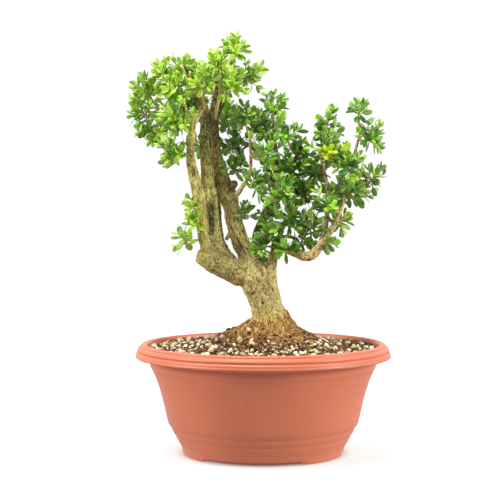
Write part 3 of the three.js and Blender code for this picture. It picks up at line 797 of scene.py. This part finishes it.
def build_wood():
    parts = [(TRUNK, "trunk", 48, root_lobe)]
    parts += [(limb["route"], limb["tint"], 20, None) for limb in LIMBS]
    parts += [(route, "root", 12, None) for route in root_routes(random.Random(5))]
    points, faces, axes = np.empty((0, 3)), [], []
    for rough_route, tint, sides, lobe in parts:
        route = smooth_route(rough_route, 3)
        axes.append((route, tint))
        shell_points, shell_faces = tube(route, sides, lobe)
        faces += [[index + len(points) for index in face] for face in shell_faces]
        points = np.concatenate([points, shell_points])
    mesh = remeshed(mesh_of_faces("wood_tubes", points, faces))
    carve_bark(mesh, axes)
    return add_piece("tree_wood", mesh, [BARK_MATERIAL], ["tree"])


def remeshed(rough):
    """One closed skin round all the shells of a mesh."""
    holder = add_object("remesh", rough)
    modifier = holder.modifiers.new("skin", "REMESH")
    modifier.mode = "VOXEL"
    modifier.voxel_size = WOOD_VOXEL * MM
    smoothing = holder.modifiers.new("ease", "SMOOTH")
    smoothing.factor = 0.5
    smoothing.iterations = 3
    evaluated = holder.evaluated_get(bpy.context.evaluated_depsgraph_get())
    mesh = bpy.data.meshes.new_from_object(evaluated)
    bpy.data.objects.remove(holder)
    mesh.shade_smooth()
    return mesh


def carve_bark(mesh, axes):
    """Moves the skin in and out along the grain of the nearest limb, and paints it."""
    samples = []
    for number, (route, tint) in enumerate(axes):
        run = np.concatenate([[0], np.cumsum(np.linalg.norm(np.diff(route[:, :3], axis=0), axis=1))])
        tangents = cross_frames(route[:, :3])[0]
        heading = unit(route[-1, :3] - route[0, :3])
        for row, tangent, along in zip(route, tangents, run):
            samples.append((row, tangent, along, heading, number, BARK_TINTS[tint]))
    tree = KDTree(len(samples))
    for i, sample in enumerate(samples):
        tree.insert(sample[0][:3], i)
    tree.balance()
    points, normals = vectors_of(mesh, "co") / MM, vectors_of(mesh, "normal")
    colours = np.empty_like(points)
    for i, point in enumerate(points):
        _, nearest, _ = min(tree.find_n(point, 6), key=lambda hit: hit[2] - samples[hit[1]][0][3])
        row, tangent, along, heading, number, tint = samples[nearest]
        offset = point - row[:3]
        ahead = offset.dot(tangent)
        grain = offset - tangent * ahead + heading * ((along + ahead) / GRAIN_LENGTH) + number * GRAIN_SHIFT
        lumps = fractal(point / LUMP_SIZE, 2)
        ridges = fractal(grain / RIDGE_SIZE, 3)
        pits = fractal(point / PIT_SIZE, 2)
        girth = min(1.0, row[3] / FULL_GIRTH)
        carved = girth * (LUMP_DEPTH * lumps + RIDGE_DEPTH * ridges) + PIT_DEPTH * pits
        points[i] += normals[i] * carved
        colours[i] = bark_colour(point, normals[i], tint, ridges, pits, lumps)
    mesh.vertices.foreach_set("co", (points * MM).ravel())
    mesh.update()
    set_tint(mesh, colours, "POINT")


def sawn_end(before, end):
    """The middle of a limb's end, the way that it faces and its radius."""
    return end[:3], unit((end - before)[:3]), end[3]


SAWN_ENDS = [sawn_end(*np.array(limb["route"][-2:], float)) for limb in LIMBS if limb["cut"]]


def bark_colour(point, normal, tint, ridges, pits, lumps):
    """The limb's colour over dark cracks, then moss, peat, painted shade, painted shadow and sawn ends."""
    height = 0.78 + 0.8 * ridges + 0.6 * pits
    low = clamped((TRUNK_TOP - point[2]) / TRUNK_SPAN)
    colour = blended(tint, BARK_TINTS["trunk"], 0.85 * low) * (1.1 + 0.3 * lumps)
    colour = blended(CRACK * (0.7 + 0.6 * low), colour, clamped(height * 1.2))
    moss = 0.5 + 0.9 * fractal(point / 15 + 3.3, 3)
    ring = math.exp(-(((point[2] - MOSS_RING) / MOSS_RING_SPAN) ** 2))
    patch = max(0.65 * ring, *(share * near(point, spot, reach) for spot, reach, share in MOSS_PATCHES))
    colour = blended(colour, MOSS * (0.8 + 0.5 * height), clamped(moss * patch * 1.6))
    peat = clamped((PEAT_TOP - point[2]) / PEAT_SPAN + 0.9 * lumps + 0.6 * ridges)
    colour = blended(colour, BARK_TINTS["root"] * (0.6 + 0.6 * height), peat)
    # Painted shade: bark under the crown and near the base of the left limbs is darkened.
    under_crown = abs(point[0] - SHADE_MIDDLE) < SHADE_WIDTH and point[1] > SHADE_BACK
    shaded = clamped((point[2] - SHADE_START) / SHADE_SPAN) * under_crown
    colour = blended(colour, colour * CROWN_SHADE, shaded)
    colour = blended(colour, colour * LIMB_SHADE, min(1.0, 1.6 * near(point, *LIMB_SHADE_PATCH)))
    # Painted shadow: the hollow, the creases and the flank facing the next limb turn near black.
    colour = blended(colour, SHADOW_DARK, painted_shadow(point, normal))
    for end, outward, radius in SAWN_ENDS:
        offset = point - end
        on_end = abs(offset.dot(outward)) < 1.5 and np.linalg.norm(offset) < radius * 1.1
        if on_end and normal.dot(outward) > 0.55:
            colour = SAWN * (0.9 + 0.2 * pits)
    return colour


def painted_shadow(point, normal):
    """How dark the painted shadow is in the hollow, in the creases and on the flank."""
    x, _, z = point
    in_hollow = math.hypot((x - HOLLOW_X) / HOLLOW_WIDTH, (z - HOLLOW_Z) / HOLLOW_HEIGHT)
    hollow = 1.5 - in_hollow if normal[1] < 0.4 else 0.0
    edge = np.interp(z, FLANK_HEIGHTS, FLANK_EDGES)
    on_flank = FLANK_BAND[0] < z < FLANK_BAND[1]
    flank = (normal[0] - 0.4) * 1.8 - abs(x - edge) / 8 if on_flank else 0.0
    crease = max(1.3 - distance_to_segment(x, z, *ends) / 1.6 for ends in CREASES) if normal[1] < 0 else 0.0
    return min(DARKEST, max(0.0, hollow, flank * 1.6, crease))


def distance_to_segment(x, z, start, end):
    start, run = np.array(start), np.subtract(end, start)
    share = clamped((np.array([x, z]) - start).dot(run) / run.dot(run))
    return np.linalg.norm(start + run * share - (x, z))


def near(point, spot, reach):
    return max(0.0, 1 - np.linalg.norm(point - np.array(spot)) / reach)


def build_root_fibres(wood, soil, rng):
    """Fine roots that run down the trunk's foot and out over the soil."""
    skins = [BVHTree.FromObject(piece, bpy.context.evaluated_depsgraph_get()) for piece in (wood, soil)]

    def surface(x, y):
        hits = [skin.ray_cast(Vector((x, y, ABOVE_ROOTS)) * MM, Vector((0, 0, -1)))[0] for skin in skins]
        return max(hit.z for hit in hits if hit) / MM

    bundle = Bundle()
    for _ in range(FIBRE_COUNT):
        angle = rng.uniform(0, 2 * math.pi)
        start, reach = rng.uniform(*FIBRE_START), rng.uniform(*FIBRE_REACH)
        swirl = rng.uniform(-0.1, 0.1)
        width = rng.uniform(*FIBRE_WIDTH)
        rows = []
        for share in np.linspace(0, 1, 7):
            angle += swirl + rng.uniform(-0.06, 0.06)
            radius = start + reach * share
            x, y = ROOT_MIDDLE + radius * math.cos(angle), radius * math.sin(angle)
            rows.append((x, y, surface(x, y) + rng.uniform(-0.2, 1.4), width * (1 - 0.6 * share)))
        shade = rng.uniform(0.3, 1.25)
        colour = blended(DARK_FIBRE, PALE_FIBRE, rng.random() ** 1.2) * shade
        steepest = np.abs(np.diff([row[2] for row in rows])).max()
        if steepest < FIBRE_DROP:
            bundle.add_tube(rows, 4, colour, 0)
    bundle.add_tube(smooth_route(PALE_ROOT, 3), 8, OPEN_ROOT, 0)
    add_piece("root_fibres", bundle.mesh("root_fibres"), [BARK_MATERIAL])


# Foliage


class Bundle:
    """Collects the closed shells of one piece. Each corner has a colour, a leaf place and a bake place."""

    def __init__(self):
        self.shells = []
        self.size = 0

    def add(self, points, faces, colours, leaf_places, cell_places, slot):
        loops = np.concatenate(faces)
        counts = [len(face) for face in faces]
        numbers = np.full(len(loops), len(self.shells))
        slots = np.full(len(faces), slot)
        shell = (points, loops + self.size, counts, colours, leaf_places, cell_places, numbers, slots)
        self.shells.append(shell)
        self.size += len(points)

    def add_tube(self, rows, sides, colour, slot):
        points, faces = tube(rows, sides)
        loops = np.concatenate(faces)
        corner = np.concatenate([np.arange(len(face)) for face in faces])
        around = (loops % sides + np.where((loops % sides == 0) & (corner % 4 > 0), sides, 0)) / sides
        along = (loops // sides) / (len(rows) - 1)
        places = np.stack([0.04 + 0.92 * around, 0.04 + 0.92 * along], 1)
        self.add(points, faces, np.tile(colour, (len(loops), 1)), places, places, slot)

    def mesh(self, name):
        columns = (np.concatenate(column) for column in zip(*self.shells))
        points, loops, counts, colours, leaf_places, cell_places, numbers, slots = columns
        mesh = new_mesh(name, points, loops, np.cumsum(counts) - counts)
        mesh.polygons.foreach_set("material_index", slots.astype(np.int32))
        set_tint(mesh, colours, "CORNER")
        origins, cell = cells(len(self.shells))
        set_uv(mesh, "leaf", leaf_places)
        set_uv(mesh, "OFBake", origins[numbers] + cell_places * cell)
        return mesh


LEAF_STATIONS = np.array([0.0, 0.1, 0.28, 0.52, 0.76, 0.92, 1.0])
LEAF_OUTLINE = np.array([0.1, 0.13, 0.68, 1.0, 0.92, 0.6, 0.22])
LEAF_ACROSS = np.array([-1.0, -0.55, 0.0, 0.55, 1.0])


def leaf_template():
    """A leaf's faces, the place of each point along and across it, and the maps of its corners."""
    rows, columns = len(LEAF_STATIONS), len(LEAF_ACROSS)
    upper = np.arange(rows * columns).reshape(rows, columns)
    lower = upper.copy()
    lower[:, 1:-1] = rows * columns + np.arange(rows * (columns - 2)).reshape(rows, columns - 2)
    faces, sides = [], []
    for r, c in np.ndindex(rows - 1, columns - 1):
        ring = [(r, c), (r + 1, c), (r + 1, c + 1), (r, c + 1)]
        faces.append([upper[spot] for spot in ring])
        faces.append([lower[spot] for spot in (ring[0], *ring[:0:-1])])
        sides += [1, 0]
    for r, turn in ((0, 1), (rows - 1, -1)):
        rim = list(upper[r]) + list(lower[r, 1:-1][::-1])
        faces.append(rim[::turn])
        sides.append(0)
    counts = np.repeat([columns, columns - 2], rows)
    station, width = (np.repeat(np.tile(values, 2), counts) for values in (LEAF_STATIONS, LEAF_OUTLINE))
    across = np.concatenate([np.tile(LEAF_ACROSS, rows), np.tile(LEAF_ACROSS[1:-1], rows)])
    side = np.repeat([1, -1], [rows * columns, rows * (columns - 2)])
    loops = np.concatenate(faces)
    top = np.repeat(sides, [len(face) for face in faces]) == 1
    return {
        "faces": faces,
        "station": station,
        "across": across,
        "width": width,
        "thick": np.where(np.abs(across) == 1, 0, side * (1 - 0.6 * across**2)),
        "leaf_places": np.stack([across[loops] / 2 + 0.5, station[loops]], 1),
        "cell_places": np.stack([0.75 - 0.5 * top + 0.21 * across[loops], 0.04 + 0.92 * station[loops]], 1),
        "upper": top,
    }


LEAF = leaf_template()


def add_leaf(bundle, rng, root, along, upper, length, width, colour, underside):
    """A leaf folded a little along the midrib, with its edges and its tip curled."""
    along = unit(along)
    normal = unit(upper - along * upper.dot(along))
    across = np.cross(along, normal)
    fold, curl, roll = (rng.uniform(*limits) for limits in (LEAF_FOLD, LEAF_CURL, LEAF_ROLL))
    station, side = LEAF["station"], LEAF["across"]
    half = LEAF["width"] * width / 2
    height = half * (fold * np.abs(side) - roll * side**4) - length * curl * station**2
    height += LEAF["thick"] * LEAF_THICKNESS / 2
    sway = rng.uniform(*LEAF_SWAY) * length * station**2
    points = root + (station * length)[:, None] * along + (side * half + sway)[:, None] * across
    points = points + height[:, None] * normal
    if np.any(points < BOX_LOW) or np.any(points > BOX_HIGH):
        return
    colours = np.where(LEAF["upper"][:, None], colour, underside)
    bundle.add(points, LEAF["faces"], colours, LEAF["leaf_places"], LEAF["cell_places"], 0)


def nearest_on_wood(point, limbs):
    """The nearest place on a limb's middle line. One above the clump counts as further, as twigs climb."""
    places = np.concatenate([smooth_route(limb["route"], 12)[2:, :3] for limb in limbs if not limb["bare"]])
    lengths = np.linalg.norm(places - point, axis=1) + 0.5 * np.maximum(0, places[:, 2] - point[2])
    return places[lengths.argmin()]


def leaf_colours(rng, region, point, youth):
    """The upper and lower colours of a leaf: limier at the tips and, as painted top light, in the upper left
    crown, and brightened by region as painted light.
    """
    limeness = LIMENESS[region]
    # Painted light from above: the upper left crown's leaves turn limier with height.
    if region == "left":
        limeness += TOP_LIGHT_LIME * clamped((point[2] - TOP_LIGHT_START) / TOP_LIGHT_SPAN)
    limeness += 0.45 * youth * youth + rng.uniform(-0.45, 0.4)
    base = blended(DEEP_LEAF, GREEN_LEAF, clamped(0.5 + rng.uniform(-0.6, 0.5) + 0.35 * youth))
    if region in ("middle", "right") and rng.random() < 0.25:
        base = blended(base, BLUE_LEAF, rng.random())
    upper = blended(base, LIME_LEAF, clamped(limeness))
    if any(math.hypot(point[0] - x, point[2] - z) < reach for x, z, reach in YELLOWING):
        upper = blended(upper, YELLOW_LEAF, rng.uniform(0.4, 0.9))
    # Painted light: each region's leaves are brightened by their own share.
    upper = upper * LEAF_PAINTED_LIGHT[region]
    under = blended(LEAF_UNDERSIDE * LEAF_PAINTED_LIGHT[region], upper, 0.35)
    upper, under = upper * rng.uniform(0.58, 1.35), under * rng.uniform(0.8, 1.15)
    return tuple(colour * min(1.0, BRIGHTEST_LEAF / colour.max()) for colour in (upper, under))


def add_shoot(bundle, rng, region, start, heading, length, vigour=1.0):
    """A young shoot with opposite pairs of leaves, each pair a quarter turn from the last."""
    bend = np.array([rng.uniform(-0.25, 0.25) for _ in range(3)]) + UP * rng.uniform(0.05, 0.35)
    path = np.array([start + (heading * t + bend * t * t * 0.5) * length for t in np.linspace(0, 1, 7)])
    rows = [(*centre, 0.95 - 0.5 * i / 6) for i, centre in enumerate(path)]
    stem = blended(TWIG_BARK, YOUNG_STEM, rng.random()) * rng.uniform(0.8, 1.1)
    bundle.add_tube(rows, 5, stem, 1)
    frames = np.stack(cross_frames(path), 1)
    pairs = max(2, round(length / PAIR_SPACING))
    turn = rng.uniform(0, math.pi)
    for pair in range(pairs + 1):
        share = min(1.0, (pair + 0.6) / (pairs + 0.3))
        place = share * 6
        low = min(5, int(place))
        centre = blended(path[low], path[low + 1], place - low)
        tangent, first, second = frames[low]
        last = pair == pairs
        spread = blended(1.15, 0.5, share) + rng.uniform(-0.12, 0.12)
        size = vigour * rng.uniform(0.85, 1.1) * (0.66 if last else 1.0 - 0.16 * share)
        for side in (0, math.pi):
            if not last and rng.random() < MISSING_LEAVES:
                continue
            angle = turn + side + rng.uniform(-0.2, 0.2)
            radial = math.cos(angle) * first + math.sin(angle) * second
            opening = spread + rng.uniform(-0.15, 0.15)
            along = tangent * math.cos(opening) + radial * math.sin(opening)
            upper = tangent * math.sin(opening) - radial * math.cos(opening) + UP * rng.uniform(0.1, 0.7)
            colours = leaf_colours(rng, region, centre, share)
            width = LEAF_WIDTH * size * rng.uniform(0.85, 1.12)
            add_leaf(bundle, rng, centre, along, upper, LEAF_LENGTH * size, width, *colours)
        turn += math.pi / 2 + rng.uniform(-0.15, 0.15)


def add_clump(bundle, rng, region, clump):
    """A twig from the wood, one shoot along the clump's axis and others spread round it."""
    middle, reach = np.array(clump[:3], float), clump[3]
    foot = nearest_on_wood(middle, [SPRIG_LIMB] if region == "sprig" else LIMBS)
    axis = unit(unit(middle - foot) + 0.8 * UP)
    start = middle - 0.55 * reach * axis
    halfway = (foot + start) / 2 + np.array([rng.uniform(-3, 3) for _ in range(3)])
    twig = [(*foot, 2.2), (*halfway, 1.8), (*start, 1.5), (*(middle - 0.1 * reach * axis), 1.0)]
    bundle.add_tube(smooth_route(twig, 6), 6, TWIG_BARK * rng.uniform(0.75, 1.05), 1)
    add_shoot(bundle, rng, region, start, axis, 1.25 * reach)
    shoots = max(3, round(reach / 3.3))
    offset = rng.uniform(0, 2 * math.pi)
    first = unit(np.cross(axis, [0.3, 1.0, 0.2]))
    second = np.cross(axis, first)
    for number in range(shoots):
        angle = offset + number * 2.4
        lean = math.acos(1 - 1.15 * (number + 0.5) / shoots)
        radial = math.cos(angle) * first + math.sin(angle) * second
        heading = unit(axis * math.cos(lean) + radial * math.sin(lean))
        origin = middle - axis * reach * rng.uniform(0.15, 0.5)
        length, vigour = reach * rng.uniform(0.75, 1.0), rng.uniform(0.85, 1.0)
        add_shoot(bundle, rng, region, origin, heading, length, vigour)


def build_foliage():
    for region, clumps in CLUMPS.items():
        bundle = Bundle()
        for number, clump in enumerate(clumps):
            add_clump(bundle, random.Random(f"{region} clump {number}"), region, clump)
        if region == "left":
            for twig in CROWN_TWIGS:
                bundle.add_tube(smooth_route(twig, 5), 7, PALE_TWIG, 1)
        nodes = [f"spray_{region}_{number:02d}" for number in range(1, len(clumps) + 1)]
        name, materials = f"foliage_{region}", [LEAF_MATERIAL, TWIG_MATERIAL]
        add_piece(name, bundle.mesh(name), materials, nodes)


# Stage


def build_floor():
    sides = [(-FLOOR_REACH, -FLOOR_REACH), (FLOOR_REACH, -FLOOR_REACH)]
    corners = sides + [(-x, -y) for x, y in sides]
    points = [(x, y, z) for z in (0, -FLOOR_THICKNESS) for x, y in corners]
    faces = [(0, 1, 2, 3), (7, 6, 5, 4), (0, 4, 5, 1), (1, 5, 6, 2), (2, 6, 7, 3), (3, 7, 4, 0)]
    floor = add_object("floor", mesh_of_faces("floor", points, faces))
    material, tree = new_material("studio_floor")
    tone = tree.ramp(tree.noise(3.0), [(0.3, 0.4), (0.7, 0.43)])
    place = tree.add("ShaderNodeTexCoord", {})["Object"]
    distance = tree.add("ShaderNodeVectorMath", {0: place}, operation="LENGTH")["Value"]
    share = tree.change(distance, (0, FLOOR_REACH * MM), (0, 1), "LINEAR")
    glow = tree.ramp(share, [(reach / FLOOR_REACH, light) for reach, light in FLOOR_GLOW])
    light = {"Emission Color": FLOOR_LIGHT, "Emission Strength": glow}
    tree.fill(tree.nodes["Principled BSDF"], {"Base Color": tone, "Roughness": 0.9, **light})
    floor.data.materials.append(material)
    floor.visible_diffuse = False
    floor.visible_glossy = False


def add_lamp(name, place, target, size, power):
    light = bpy.data.lights.new(name, "AREA")
    light.shape = "DISK"
    light.size = size
    light.energy = power
    holder = add_object(name, light)
    holder.location = place
    holder.rotation_euler = (Vector(target) - Vector(place)).to_track_quat("-Z", "Y").to_euler()


def build_studio():
    build_floor()
    world = bpy.data.worlds.new("studio")
    tree = NodeTree(world)
    direction = tree.add("ShaderNodeTexCoord", {})["Generated"]
    split = tree.add("ShaderNodeSeparateXYZ", {"Vector": direction})
    around = tree.change(split["Y"], AROUND_BAND, (FRONT_STRENGTH, BACK_STRENGTH))
    above = tree.change(split["Z"], ABOVE_BAND, (0.0, 1.0))
    levels = {"Factor": above, "A": LOW_STRENGTH, "B": around}
    strength = tree.add("ShaderNodeMix", levels, data_type="FLOAT")[0]
    tree.fill(tree.nodes["Background"], {"Color": (1, 1, 1, 1), "Strength": strength})
    bpy.context.scene.world = world
    for name, lamp in LAMPS.items():
        add_lamp(name, *lamp)
    bpy.context.scene.view_settings.view_transform = "Standard"


def build_camera():
    camera = bpy.data.cameras.new("camera")
    camera.lens = CAMERA_LENS
    camera.sensor_width = 36
    camera.clip_end = 50
    holder = add_object("camera", camera)
    holder.location = CAMERA_PLACE
    holder.rotation_euler = (math.radians(CAMERA_PITCH), 0, math.radians(CAMERA_YAW))
    bpy.context.scene.camera = holder


build_pot()
bed = build_soil()
wood = build_wood()
build_root_fibres(wood, bed, random.Random(11))
build_loose_soil()
build_foliage()
build_studio()
build_camera()
